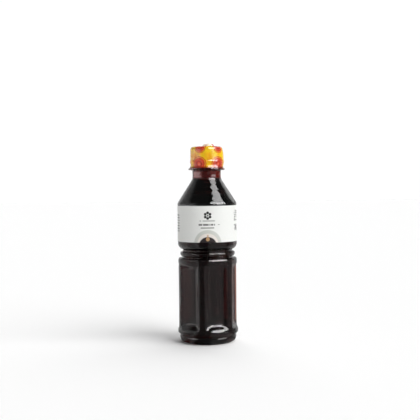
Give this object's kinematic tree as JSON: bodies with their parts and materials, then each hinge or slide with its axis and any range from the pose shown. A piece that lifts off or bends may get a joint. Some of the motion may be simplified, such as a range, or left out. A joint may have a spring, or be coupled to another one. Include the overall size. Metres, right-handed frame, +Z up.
{
  "type": "black seed oil bottle",
  "caption": "Clear ribbed plastic bottle of dark oil with six recessed side panels, a grooved waist, a wrap label and a screw cap under a shrink seal.",
  "frame": {"origin": "middle of the foot, on the surface the bottle stands on", "axes": "+Z up the axis of the bottle, -Y out of the front of the label, +X to the right seen from the front"},
  "size_m": [0.0548, 0.0548, 0.1792],
  "materials": {
    "clear_plastic": "clear, glossy moulded bottle plastic",
    "dark_oil": "near-black red-brown oil, clear where it is thin",
    "label_paper": "smooth off-white printed paper",
    "cap_plastic": "moulded cap plastic",
    "seal_film": "glossy yellow-orange shrink film with red rosettes"
  },
  "bodies": {
    "root": {"bottle": "clear_plastic", "oil": "dark_oil", "label": "label_paper", "cap": "cap_plastic", "seal": "seal_film"}
  },
  "joints": []
}
